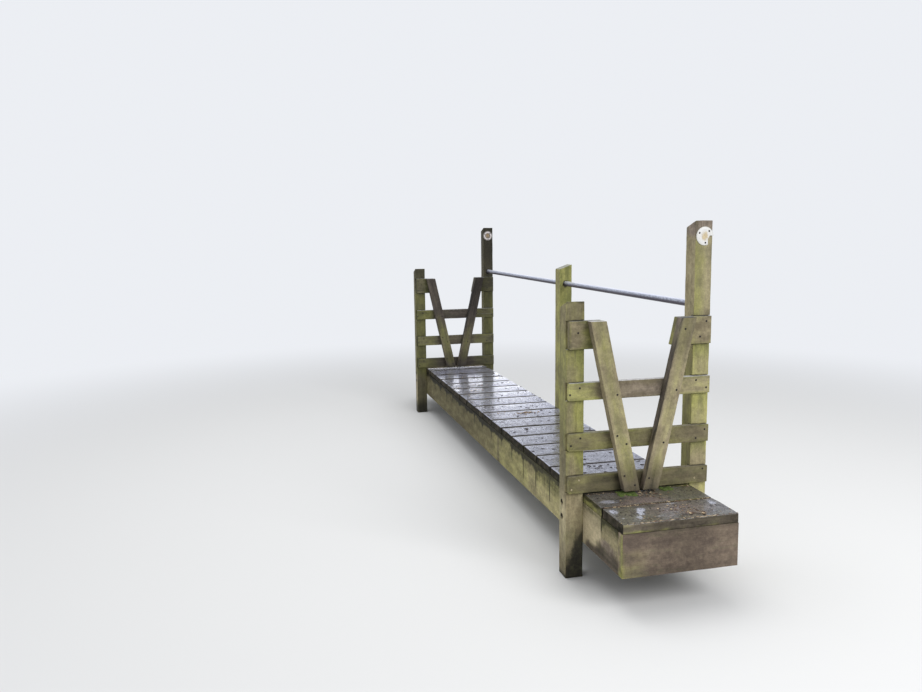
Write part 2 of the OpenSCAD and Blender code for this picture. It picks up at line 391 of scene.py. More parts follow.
# The same timbers darkened with painted shade, for the far stile
FAR_MATERIALS = {
    "post_timber": weathered_timber("far_post_timber", (150, 142, 112), (118, 110, 86), depth=0.72),
    "rail_timber": weathered_timber("far_rail_timber", (146, 138, 112), (112, 104, 84), depth=0.72),
    "leg_timber": weathered_timber("far_leg_timber", (146, 134, 114), (110, 100, 84), depth=0.72),
}
TIMBERS = {"near": MATERIALS, "far": FAR_MATERIALS}
END_BOARD = weathered_timber("end_board_timber", (114, 101, 87), (98, 86, 76), top_sheen=0, grain=0.1,
                             shine=0.2, patchy=0.8)
BOARD_EDGE = weathered_timber("board_edge", (96, 88, 76), (72, 66, 58), top_sheen=0, grain=0.6, shine=0.05)
STEP_BOARD = wet_board("wet_step_timber", (95, 93, 83), (52, 50, 42), (198, 202, 220), (113, 99, 94),
                       0.5, 0.12, 2, crumbs=0.75)
STEEL = rusty_steel("rusty_steel", (16, 14, 13), (42, 32, 26))
BRIGHT_STEEL = rusty_steel("bright_steel", (120, 100, 70), (214, 204, 170))
NUT_STEEL = rusty_steel("nut_steel", (52, 36, 16), (112, 82, 36))
MOSS = speckled("moss", (44, 60, 24), (98, 116, 46), 320, 0.15, 0.95, (0.003, 0.9))
LITTER = leaf_litter()
SOIL = speckled("soil", (50, 40, 34), (98, 80, 66))
GRIT = speckled("grit", (30, 27, 28), (70, 62, 58))


# Mesh helpers

def rise(value, low, high):
    """Goes smoothly from 0 at low to 1 at high."""
    t = np.clip((value - low) / (high - low), 0, 1)
    return t * t * (3 - 2 * t)


def fall(value, low, high):
    """Goes smoothly from 1 at low to 0 at high."""
    return 1 - rise(value, low, high)


def band(value, low, high, edge):
    """1 between low and high, falling to 0 over the edge outside them."""
    return rise(value, low - edge, low) * fall(value, high, high + edge)


def waves(points, size, seed):
    """Smooth noise from -1 to 1, in swells about size across (one size, or one for each axis)."""
    random = np.random.default_rng(seed)
    scaled = points / np.asarray(size, float)
    total = np.zeros(len(points))
    for turn in random.normal(size=(9, 3)):
        total += np.sin(scaled @ turn * 2.2 + random.uniform(0, 2 * math.pi))
    return np.clip(total / 4, -1, 1)


def link(name, data):
    """A new object in the scene."""
    obj = bpy.data.objects.new(name, data)
    bpy.context.scene.collection.objects.link(obj)
    return obj


def mesh_object(name, points, faces):
    mesh = bpy.data.meshes.new(name)
    mesh.from_pydata(points.tolist(), [], faces)
    mesh.validate()
    return link(name, mesh)


def bmesh_object(name, bm):
    mesh = bpy.data.meshes.new(name)
    bm.to_mesh(mesh)
    bm.free()
    return link(name, mesh)


def vertex_rows(obj, what):
    """One row for each vertex: its place ("co") or the way it faces ("normal")."""
    rows = np.zeros(len(obj.data.vertices) * 3)
    obj.data.vertices.foreach_get(what, rows)
    return rows.reshape(-1, 3)


def store(obj, name, kind, rows):
    """Gives each vertex its own row of values."""
    field = {"FLOAT_VECTOR": "vector", "FLOAT_COLOR": "color", "FLOAT": "value"}[kind]
    attribute = obj.data.attributes.new(name, kind, "POINT")
    attribute.data.foreach_set(field, rows.astype(np.float32).ravel())


def smooth(obj, degrees=38):
    obj.data.shade_smooth()
    obj.data.set_sharp_from_angle(angle=math.radians(degrees))


def bore(obj, centre, direction, radius, depth):
    """Cuts a round hole that starts at centre and runs depth along direction."""
    overrun = 0.01
    bm = bmesh.new()
    bmesh.ops.create_cone(bm, cap_ends=True, segments=40, radius1=radius, radius2=radius,
                          depth=depth + overrun)
    turn = UP.rotation_difference(Vector(direction)).to_matrix().to_4x4()
    middle = Vector(centre) + Vector(direction) * (depth - overrun) / 2
    bm.transform(Matrix.Translation(middle) @ turn)
    cutter = bmesh_object("cutter", bm)
    cut = obj.modifiers.new("cut", "BOOLEAN")
    cut.object = cutter
    cut.solver = "EXACT"
    result = bpy.data.meshes.new_from_object(obj.evaluated_get(bpy.context.evaluated_depsgraph_get()))
    obj.modifiers.clear()
    obj.data = result
    bpy.data.objects.remove(cutter)


def finish_piece(obj, material, replaced=None):
    obj.data.materials.clear()
    obj.data.materials.append(material)
    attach(obj, "root")
    if replaced:
        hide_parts(replaced)


# Sawn timbers

UP = Vector((0, 0, 1))
# The way that the fronts of posts, rails and legs face
FRONT = Vector((0, -1, 0))
# Half width of a drying check
CRACK_W = 0.0011
# Least distance between two places of a timber's grid
GRID_GAP = 0.0002
# How far a sawn face goes in and out
UNEVEN = 0.0007
# How much more algae there is along the edges
EDGE_ALGAE = {"post_timber": 0.12, "rail_timber": 0.28, "leg_timber": 0.12}


def cuts(low, high, step, arris, extra, cracks):
    """Grid places along one axis: close together on the rounded arrises, a step apart between them.

    Each crack gets three places of its own, and no other place comes near it.
    """
    inner = np.linspace(low + 1.7 * arris, high - 1.7 * arris, max(2, round((high - low) / step) + 1))
    ends = [low, low + 0.35 * arris, low + arris, high - arris, high - 0.35 * arris, high]
    inside = [e for e in extra if low + arris < e < high - arris]
    places = np.array([*ends, *inner, *inside])
    for crack in cracks:
        places = places[np.abs(places - crack) > 3 * CRACK_W]
    own = [crack + d for crack in cracks for d in (-CRACK_W, 0, CRACK_W)]
    places = np.unique(np.round([*places, *own], 6))
    return places[np.append(True, np.diff(places) > GRID_GAP)]


def box_surface(xs, ys, zs):
    """Points and outward quads of a box's surface on a grid."""
    shell = np.ones((len(xs), len(ys), len(zs)), bool)
    shell[1:-1, 1:-1, 1:-1] = False
    index = np.full(shell.shape, -1)
    index[shell] = np.arange(shell.sum())
    i, j, k = np.nonzero(shell)
    quads = []
    for axis in range(3):
        for end in (0, -1):
            sheet = np.take(index, end, axis)
            corners = (sheet[:-1, :-1], sheet[1:, :-1], sheet[1:, 1:], sheet[:-1, 1:])
            faces = np.stack(corners, -1).reshape(-1, 4)
            outward = (end == -1) != (axis == 1)
            quads += (faces if outward else faces[:, ::-1]).tolist()
    return np.column_stack([xs[i], ys[j], zs[k]]), quads


def drying_checks(random, count, grain, low, high):
    """Random cracks along the grain, well apart, each on one long face.

    Each is the axis across it and its place on that, its face's axis and end, start, stop and depth.
    """
    size = high - low
    others = [axis for axis in range(3) if axis != grain]
    found = []
    for _ in range(count):
        face, across = random.permutation(others)
        start = random.uniform(low[grain], high[grain])
        place = round(low[across] + size[across] * random.uniform(0.2, 0.8), 6)
        if any(check[0] == across and abs(check[1] - place) < 8 * CRACK_W for check in found):
            continue
        end = random.integers(2)
        stop = min(high[grain], start + size[grain] * random.uniform(0.12, 0.45))
        found.append((across, place, face, end, start, stop, random.uniform(0.003, 0.007)))
    return found


def timber_block(low, high, grain, seed, arris=0.003, step=0.014, checks=0, extra=()):
    """Points and quads of a sawn timber with worn arrises, a slightly uneven surface and drying checks.

    Extra grid places are along the grain.
    """
    low, high = np.array(low, float), np.array(high, float)
    cracks = drying_checks(np.random.default_rng(seed), checks, grain, low, high)
    places = []
    for axis in range(3):
        own = [place for across, place, *_ in cracks if across == axis]
        places.append(cuts(low[axis], high[axis], step, arris, extra if axis == grain else (), own))
    grid, quads = box_surface(*places)
    radius = arris * (1 + 0.35 * waves(grid, 0.05, seed + 1))
    inner = np.clip(grid, low + radius[:, None], high - radius[:, None])
    out = grid - inner
    out /= np.linalg.norm(out, axis=1)[:, None]
    inset = UNEVEN * (0.5 + 0.5 * waves(grid, 0.07, seed + 2))
    points = inner + out * (radius - inset)[:, None]
    for across, place, face, end, start, stop, depth in cracks:
        off = np.abs(grid[:, across] - place)
        near = off < CRACK_W * 1.2
        points[near, across] += 0.9 * CRACK_W * waves(grid[near] * np.eye(3)[grain], 0.05, seed + 7)
        bottom = np.isclose(grid[:, face], (low, high)[end][face]) & (off < CRACK_W * 0.5)
        span = (grid[bottom, grain] - start) / max(stop - start, 0.01)
        inward = -1 if end else 1
        points[bottom, face] += inward * depth * np.sqrt(np.clip(4 * span * (1 - span), 0, 1))
    return points, quads


def near_edge(points):
    """1 at a timber's edges, 0 further than 18 mm from them."""
    gaps = np.sort(np.minimum(points - points.min(0), points.max(0) - points), axis=1)
    return fall(gaps[:, 1], 0, 0.018)


def finish_timber(obj, slot, grain, seed, marks, replaced, material=None, lean=0):
    """Stores where each vertex lies in the wood and what grows on it, then gives the piece its material.

    The marks are how much algae, wetness, bleaching and greying a point has, and how light it is; the
    wetness also carries painted shade, the bleaching some painted light, and the lightness painted light and
    shade.
    """
    points = vertex_rows(obj, "co")
    random = np.random.default_rng(seed + 100)
    straight = points.copy()
    straight[:, 0] -= lean * points[:, 2]
    across = [axis for axis in range(3) if axis != grain]
    wood = straight[:, [*across, grain]]
    turn = random.uniform(0, 2 * math.pi)
    pith = wood.mean(0)[:2] + random.uniform(0.07, 0.13) * np.array([math.cos(turn), math.sin(turn)])
    wood[:, :2] -= pith
    wood[:, 2] += random.uniform(0, 40)
    rows = np.zeros((len(points), 5))
    for column, values in enumerate(marks(points, vertex_rows(obj, "normal"))):
        rows[:, column] = values
    ragged = 0.5 + 0.5 * waves(points, 0.06, seed + 9)
    rows[:, 0] += EDGE_ALGAE.get(slot, 0) * near_edge(straight) * ragged
    # Painted shade in the bolt pockets
    if slot == "post_timber":
        rows[:, 1] = np.maximum(rows[:, 1], pocket_shade(points))
    store(obj, "wood", "FLOAT_VECTOR", wood)
    store(obj, "marks", "FLOAT_COLOR", np.clip(rows[:, :4], 0, 1))
    store(obj, "tone", "FLOAT", rows[:, 4])
    smooth(obj)
    finish_piece(obj, material or MATERIALS[slot], replaced)


def plain_timber(name, slot, grain, seed, marks, material=None, **block):
    """A timber that fills its node's box."""
    obj = mesh_object(name + "_weathered", *timber_block(*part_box(name), grain, seed, **block))
    finish_timber(obj, slot, grain, seed, marks, name, material)


# Posts

POCKET_R = 0.016
POCKET_DEPTH = 0.014
POCKET_SET = 0.06
POCKET_DROPS = (0.058, 0.138)
POST_ARRIS = 0.0035
# How much a post's top falls from one side to the other, and the height over which its grid follows
TOP_FALL = 0.036
TOP_RUN = 0.12
HOUSING_PLAY = 0.001
TUBE_PLAY = 0.0006
TUBE_SEAT = 0.06
# Middle of each bolt pocket's mouth, and which way along X it goes in
bolt_places = []


def rail_spans(side):
    """Lower and upper edge of each housing for the rails of a stile."""
    names = [f"{side}_rail_{i}" for i in (1, 2, 3)] + [f"{side}_top_rails"]
    return [(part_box(name)[0].z - HOUSING_PLAY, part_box(name)[1].z + HOUSING_PLAY) for name in names]


def bore_pockets(obj, x, y, inward):
    for drop in POCKET_DROPS:
        where = Vector((x, y + POCKET_SET, DECK_Z - drop))
        bore(obj, where, (inward, 0, 0), POCKET_R, POCKET_DEPTH)
        bolt_places.append((where, inward))


def pocket_shade(p):
    """1 on the upper walls and the bottoms of the bolt pockets, where painted shade darkens the timber."""
    inside = np.zeros(len(p))
    for where, inward in bolt_places:
        off = np.hypot(p[:, 1] - where.y, p[:, 2] - where.z)
        deep = (p[:, 0] - where.x) * inward
        within = (off < POCKET_R + 0.0005) & (deep > -0.001) & (deep < 0.02)
        inside = np.maximum(inside, within * rise(p[:, 2] - where.z, -0.01, 0.002))
    return inside


def stile_post(name, side, seed, marks):
    """A post with housings for the rails, a top that falls to the back and, on the right, a tube seat."""
    low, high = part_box(name)
    spans = rail_spans(side)
    lip, line = 0.0005, 0.008
    heights = [z for a, b in spans for z in (a - line, a - lip, a, b, b + lip, b + line)]
    points, quads = timber_block(low, high, 2, seed, arris=POST_ARRIS, checks=3, extra=heights)
    z = points[:, 2]
    away = (points[:, 1] - low.y) / POST_W
    housed = np.any([(z > a - 1e-5) & (z < b + 1e-5) for a, b in spans], 0)
    points[:, 1] += RAIL_BACK_Y * housed * (1 - away)
    points[:, 2] -= TOP_FALL * away * rise(z, high.z - TOP_RUN, high.z)
    obj = mesh_object(name + "_weathered", points, quads)
    right = low.x > 0
    bore_pockets(obj, high.x if right else low.x, low.y, -1 if right else 1)
    if right:
        face, inward = (high.y, -1) if side == "near" else (low.y, 1)
        bore(obj, (POST_X, face, TUBE_Z), (0, inward, 0), TUBE_R + TUBE_PLAY, TUBE_SEAT)
    finish_timber(obj, "post_timber", 2, seed, marks, name, TIMBERS[side]["post_timber"])


def handrail_post(name, seed, marks):
    """The middle post, whose top falls to the left and which the tube passes through."""
    low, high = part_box(name)
    points, quads = timber_block(low, high, 2, seed, arris=POST_ARRIS, checks=3)
    top = rise(points[:, 2], high.z - 0.1, high.z)
    points[:, 2] -= TOP_FALL * (1 - (points[:, 0] - low.x) / POST_W) * top
    obj = mesh_object(name + "_weathered", points, quads)
    bore_pockets(obj, high.x, low.y, -1)
    bore(obj, (POST_X, low.y, TUBE_Z), (0, 1, 0), TUBE_R + TUBE_PLAY, POST_W + 0.01)
    finish_timber(obj, "post_timber", 2, seed, marks, name)


def painted_joint_shadows(p, side):
    """Painted shadow lines on a post's front along the edges of the rails that are let into it."""
    edges = [edge for span in rail_spans(side) for edge in span]
    line = np.max([1 - np.abs(p[:, 2] - edge) / 0.006 for edge in edges], 0)
    covered = np.abs(p[:, 0]) < -RAIL_LO.x
    return np.clip(line, 0, 1) * (p[:, 1] < STILES[side] + 0.03) * np.where(covered, 1, 0.3)


def under_rails(p, side):
    """1 just under each rail, falling to 0 at 130 mm below it."""
    return np.max([fall(low - p[:, 2], 0, 0.13) * (p[:, 2] < low) for low, _ in rail_spans(side)], 0)


def tube_hole_shadow(p, edge):
    """1 round the tube's hole, as far as the edge from its rim, where a painted shadow darkens the post."""
    return band(np.hypot(p[:, 0] - POST_X, p[:, 2] - TUBE_Z), 0, TUBE_R + edge, edge + 0.002)


def near_left_post_marks(p, n):
    x, z = p[:, 0], p[:, 2] - DECK_Z
    left = n[:, 0] < -0.6
    heights = [-0.4, -0.1, 0.12, 0.22, 0.27, 0.36, 0.75, 0.98]
    side_algae = np.interp(z, heights, [0.2, 0.28, 0.3, 0.38, 0.42, 0.56, 0.66, 0.4])
    algae = np.interp(z, heights, [0.2, 0.28, 0.3, 0.3, 0.3, 0.38, 0.5, 0.38])
    right = rise(x, -0.38, -0.33) * band(z, 0.1, 0.85, 0.04)
    patch = np.exp(-((x + 0.342) / 0.026) ** 2 - ((z - 0.455) / 0.04) ** 2)
    sheltered = under_rails(p, "near") * (z > 0.1) * (1 - 0.6 * band(z, 0.3, 0.5, 0.02))
    sheltered = sheltered * (0.3 + 0.7 * right)
    algae = np.where(left, side_algae, algae + 0.22 * right + 0.45 * patch + 0.5 * sheltered)
    tide = -0.15 + (x + SIDE_X) * 1.85 + 0.02 * waves(p, 0.03, 5)
    damp_and_shade = np.where(left, 0, rise(tide - z, -0.07, 0.14) * 0.92)
    worn_top = rise(p[:, 2] - POST_HI.z + 0.012 * waves(p, 0.025, 31), -0.02, -0.004)
    damp_and_shade = np.max([damp_and_shade, rise(-z, 0.42, 0.47) * 0.8, 0.9 * painted_joint_shadows(p, "near"), 0.5 * worn_top], 0)
    grey = 0.35 * np.where(left, band(z, 0, 0.45, 0.1), rise(z, 0.93, 1))
    # How light each face is by height: the front and the left face differ by painted light and shade,
    # besides the timber's own lightness
    front = np.interp(z, [-0.4, -0.21, -0.08, 0.1, 0.5, 0.85, 0.95],
                      [0.88, 0.95, 1.42, 0.9, 0.88, 0.9, 0.64])
    side = np.interp(z, [-0.3, -0.1, 0.05, 0.3, 0.5], [0.78, 1.5, 0.86, 0.82, 1.06])
    return algae, damp_and_shade, 0.45 * band(z, -0.3, -0.05, 0.1) + 0.1, grey, np.where(left, side, front)


def near_right_post_marks(p, n):
    z = p[:, 2] - DECK_Z
    left = n[:, 0] < -0.5
    below_cap = fall(z, 1.33, 1.39)
    high_front = rise(z, 0.75, 0.95)
    low_side = fall(z, 0.6, 0.9)
    front = np.interp(z, [-0.1, 0.18, 0.26, 0.5, 0.8, 0.95, 1.2], [0.24, 0.3, 0.48, 0.5, 0.52, 0.46, 0.4])
    leftish = np.interp(p[:, 0] - SIDE_X, [0, 0.03, 0.07, 0.1], [0.18, 0.16, -0.08, -0.08])
    front = front + leftish * high_front + 0.28 * under_rails(p, "near") * (1 - high_front)
    algae = np.where(left, 0.18 + 0.38 * low_side, front) * below_cap
    damp_and_shade = np.max([0.9 * painted_joint_shadows(p, "near"), rise(-z, 0.25, 0.45) * 0.9, 0.3 * left * low_side], 0)
    pale = np.where(left, 0.1, 0.4 + 0.15 * high_front) * below_cap
    grey = np.maximum(0.75 * (1 - below_cap), 0.25 * left)
    # Tone by height; the left face is lightened with painted light
    tone = np.interp(z, [0.2, 0.43, 0.7, 0.95, 1.1, 1.3, 1.35], [1.23, 1.12, 1.27, 0.89, 0.83, 0.71, 0.95])
    tone = np.where(left, np.interp(z, [0.4, 1.1, 1.3], [1.29, 1.34, 1.22]), tone)
    return algae, damp_and_shade, pale, grey, tone


def far_post_marks(p, n):
    z = p[:, 2] - DECK_Z
    front, left = n[:, 1] < -0.5, n[:, 0] < -0.5
    algae = 0.25 + 0.45 * band(z, 0, 0.75, 0.15)
    damp_and_shade = np.max([0.9 * painted_joint_shadows(p, "far"), rise(-z, 0.25, 0.45) * 0.9, 0.95 * tube_hole_shadow(p, 0.006)], 0)
    # Painted shade on the fronts, deepest high up on the right post; the left faces lightened low down with
    # painted light through the paleness, and darker higher up
    right_front = np.interp(z, [0, 0.5, 0.9, 1.2], [0.8, 0.68, 0.45, 0.18])
    left_front = np.interp(z, [0, 0.5, 0.8, 1], [0.85, 0.85, 0.76, 0.34])
    left_side = np.interp(z, [0.6, 0.95, 1.15, 1.4], [1, 0.85, 0.55, 0.45])
    tone = np.where(front, np.where(p[:, 0] > 0, right_front, left_front), np.where(left, left_side, 1))
    return algae, damp_and_shade, 0.85 * left * fall(z, 0.6, 1), 0.2, tone


def handrail_post_marks(p, n):
    left = n[:, 0] < -0.5
    foot = rise(DECK_Z - p[:, 2], 0, 0.1)
    # Painted shadow round the tube's hole; the left face is lightened with painted light
    damp_and_shade = np.max([0.9 * tube_hole_shadow(p, 0.004), 0.5 * foot, 0.45 * (n[:, 2] > 0.6)], 0)
    return np.where(left, 0.58, 1), damp_and_shade, 0.1, 0.05, np.where(left, 1.27, 0.94)


stile_post("post_near_left", "near", 11, near_left_post_marks)
stile_post("post_near_right", "near", 12, near_right_post_marks)
stile_post("post_far_left", "far", 13, far_post_marks)
stile_post("post_far_right", "far", 14, far_post_marks)
handrail_post("post_handrail", 31, handrail_post_marks)


# Rails and legs of the stiles

LEG_CUT_W = 0.0901
STUB_SETBACK = 0.004
# The top rail's number, after the three full rails
TOP = 4
# What shows on a rail: places across the stile, then algae, damp, bleaching, greying and tone there
RAIL_LOOKS = {
    1: ([-0.4, -0.33, -0.29, -0.16, -0.11, 0.12, 0.4], [0.46, 0.42, 0.36, 0.34, 0.3, 0.38, 0.38],
        [0, 0.05, 0.32, 0.38, 0.62, 0.16, 0.05], [0.1, 0.05, 0, 0, 0, 0, 0.05],
        [0.05, 0.1, 0.2, 0.2, 0.3, 0.3, 0.25], [0.74, 0.74, 0.56, 0.58, 0.58, 0.64, 0.69]),
    2: ([-0.4, -0.25, -0.1, 0.12, 0.4], [0.44, 0.42, 0.5, 0.46, 0.34], [0, 0, 0.15, 0.1, 0],
        [0.1, 0.05, 0, 0, 0.1], [0.1, 0.15, 0.1, 0.12, 0.15], [0.78, 0.68, 0.74, 0.72, 0.73]),
    3: ([-0.4, -0.27, -0.22, 0.17, 0.24, 0.4], [0.68, 0.62, 0.3, 0.08, 0.4, 0.44],
        [0, 0, 0.1, 0, 0, 0], [0.45, 0.35, 0.1, 0.15, 0.5, 0.55],
        [0, 0.1, 0.6, 0.62, 0.15, 0], [1.2, 1.16, 0.98, 1, 1.03, 1.04]),
    TOP: ([-0.41, -0.34, -0.3, -0.22, 0.24, 0.32, 0.41], [0.2, 0.3, 0.7, 0.75, 0.6, 0.35, 0.25],
          [0, 0.05, 0.3, 0.35, 0.2, 0.05, 0], [0.15, 0.15, 0, 0, 0.05, 0.25, 0.3],
          [0.2, 0.2, 0.05, 0.05, 0.05, 0.1, 0.1], [0.86, 0.84, 0.69, 0.66, 0.9, 1, 1]),
}
# How much painted light lightens the left end face of a near rail
RAIL_END_SHADES = {1: 1.25, 2: 1.5, 3: 1.65, TOP: 1}
# How light a far rail's front is at its left end, middle and right end, by painted light and shade
FAR_RAIL_SHADES = {1: (1.2, 0.95, 0.92), 2: (1.75, 1.3, 1.18), 3: (0.84, 0.79, 0.67), TOP: (1, 0.5, 0.4)}


def rail_marks(side, number):
    """Algae at a rail's ends, worn timber where feet and hands pass, and a dark, wet lowest rail;
    painted light on the near rails' left ends and painted light and shade on the far rails' fronts.
    """
    places, *looks = RAIL_LOOKS[number]

    def marks(p, n):
        x = p[:, 0] + 0.012 * waves(p, 0.05, 77)
        algae, damp_and_shade, pale, grey, tone = (np.interp(x, places, row) for row in looks)
        if number == TOP:
            damp_and_shade = np.maximum(damp_and_shade, 0.6 * (n[:, 2] > 0.6))
        if side == "near":
            # Painted light on the left end faces
            tone = tone * np.where(n[:, 0] < -0.5, RAIL_END_SHADES[number], 1)
        else:
            middle = fall(np.abs(p[:, 0]), 0.15, 0.25)
            algae = algae + 0.12 - 0.3 * middle
            damp_and_shade, pale, grey = damp_and_shade * 0.5, pale * 0.2, grey * 0.8 + 0.5 * middle
            # Painted light and shade on the fronts
            shades = np.interp(p[:, 0], [-0.3, 0, 0.3], FAR_RAIL_SHADES[number])
            tone = tone * np.where(n[:, 1] < -0.5, shades, 1)
        return algae, damp_and_shade, pale, grey, tone
    return marks


def hand(sign):
    """Which side of the bridge a sign stands for."""
    return "left" if sign < 0 else "right"


def leg_middle(side, sign, z):
    """Middle of a stile's leg at height z, from the leg's own box."""
    low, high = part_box(f"{side}_leg_{hand(sign)}")
    foot = (low.x if sign > 0 else high.x) + sign * LEG_CUT_W / 2
    top = (high.x if sign > 0 else low.x) - sign * LEG_CUT_W / 2
    return foot + (top - foot) * (z - low.z) / (high.z - low.z)


def leg_marks(side, sign):
    """Algae down the middle of a leg's front, and a greyer side to the left.

    Painted light and shade set the left faces apart from the fronts, and painted shade darkens the far
    fronts higher up.
    """
    def marks(p, n):
        z = p[:, 2] - DECK_Z
        leftward = n[:, 0] < -0.5
        across = p[:, 0] - leg_middle(side, sign, p[:, 2])
        algae = (0.52 if sign < 0 else 0.4) - 0.28 * (np.abs(across) / LEG_CUT_W * 2) ** 2
        algae = np.where(leftward, 0.2, algae) - 0.3 * fall(z, 0.03, 0.1)
        damp_and_shade = 0.25 * fall(z, 0.06, 0.22) + 0.2 * fall(z, 0.02, 0.06)
        pale = np.where(leftward, 0, 0.35) * band(z, 0.2, 0.7, 0.12)
        grey = np.where(leftward, 0.35 if sign < 0 else 0.7, 0.06)
        grey = grey + 0.25 * rise(z, 0.8, 0.95) + 0.35 * fall(z, 0.03, 0.12)
        front = [0.69, 0.69, 1.05, 1.1, 0.86, 0.9] if sign < 0 else [0.6, 0.61, 1.05, 1.04, 0.94, 0.62]
        tone = np.interp(z, [0, 0.1, 0.22, 0.35, 0.6, 0.8], front)
        if sign < 0:
            damp_and_shade = np.where(leftward, 0.38 * band(z, 0.79, 0.95, 0.015), damp_and_shade)
            # Painted light on the left face
            tone = np.where(leftward, 1.15, tone)
        else:
            from_left = across + LEG_CUT_W / 2 + 0.006 * waves(p, (1, 1, 0.04), 23)
            stained = fall(from_left, 0.004, 0.018) * rise(z, 0.3, 0.45)
            damp_and_shade = np.max([damp_and_shade, 0.85 * (n[:, 2] > 0.6) * (z > 0.8), 0.5 * stained], 0)
            # The left face is darker, partly wet and partly painted shade
            side_damp = 0.26 + 0.45 * waves(p, (0.04, 0.03, 0.08), 21) - 0.25 * rise(z, 0.8, 0.9)
            damp_and_shade = np.where(leftward, side_damp, damp_and_shade)
            grey = grey + 0.5 * stained
            # Painted light and shade up the left face
            side_tone = np.interp(z, [0.1, 0.22, 0.4, 0.7, 0.84, 0.92], [1.56, 1.3, 0.53, 0.52, 0.66, 1.15])
            tone = np.where(leftward, side_tone, tone)
        if side == "far":
            upper_part = rise(z, 0.35, 0.65)
            algae, pale = algae + 0.12 - 0.42 * upper_part, 0
            grey = grey + 0.2 + 0.5 * upper_part
            # Painted light and shade on the far fronts, darker higher up
            shades = (1.1, 0.82, 0.86) if sign < 0 else (0.88, 0.43, 0.5)
            tone = tone * np.where(n[:, 1] < -0.5, np.interp(z, [0.3, 0.6, 0.9], shades), 1)
        return algae, damp_and_shade, pale, grey, tone
    return marks


def leg(side, sign, seed):
    name = f"{side}_leg_{hand(sign)}"
    low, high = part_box(name)
    foot, top = (leg_middle(side, sign, z) for z in (low.z, high.z))
    lean = (top - foot) / (high.z - low.z)
    block_low = (foot - LEG_CUT_W / 2, low.y, low.z)
    block_high = (foot + LEG_CUT_W / 2, high.y, high.z)
    points, quads = timber_block(block_low, block_high, 2, seed, arris=POST_ARRIS, step=0.012, checks=3)
    points[:, 0] += lean * (points[:, 2] - low.z)
    obj = mesh_object(name + "_weathered", points, quads)
    finish_timber(obj, "leg_timber", 2, seed, leg_marks(side, sign), name, TIMBERS[side]["leg_timber"], lean)


def top_stub(side, sign, seed):
    """Top rail from its post to the leg, cut to the leg's lean."""
    name = f"{side}_top_rails"
    low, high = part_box(name)
    outer = low.x if sign < 0 else high.x
    ends = [leg_middle(side, sign, z) - sign * (LEG_CUT_W / 2 - STUB_SETBACK) for z in (low.z, high.z)]
    middle = sum(ends) / 2
    block_low = (min(outer, middle), low.y, low.z)
    block_high = (max(outer, middle), high.y, high.z)
    points, quads = timber_block(block_low, block_high, 0, seed, step=0.011, checks=1)
    inner_x = ends[0] + (ends[1] - ends[0]) * (points[:, 2] - low.z) / (high.z - low.z)
    points[:, 0] += (points[:, 0] - outer) / (middle - outer) * (inner_x - middle)
    obj = mesh_object(f"{side}_top_rail_{hand(sign)}", points, quads)
    finish_timber(obj, "rail_timber", 0, seed, rail_marks(side, TOP), name, TIMBERS[side]["rail_timber"])


for order, side in enumerate(STILES):
    for number in (1, 2, 3):
        plain_timber(f"{side}_rail_{number}", "rail_timber", 0, 40 + number + 10 * order,
                     rail_marks(side, number), TIMBERS[side]["rail_timber"], step=0.012, checks=1)
    for sign in (-1, 1):
        leg(side, sign, 60 + (sign > 0) + 10 * order)
        top_stub(side, sign, 80 + (sign > 0) + 10 * order)


# Beams and end boards

END_BOARD_LO, END_BOARD_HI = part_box("end_board_near")


def near_end_tide(y):
    """Height of the mud line on the near end of the beams."""
    return DECK_Z + np.interp(y, [-0.46, -0.35, -0.27, -0.21, -0.165, -0.08, -0.01, 0.1],
                              [-0.183, -0.17, -0.166, -0.172, -0.225, -0.222, -0.258, -0.34])


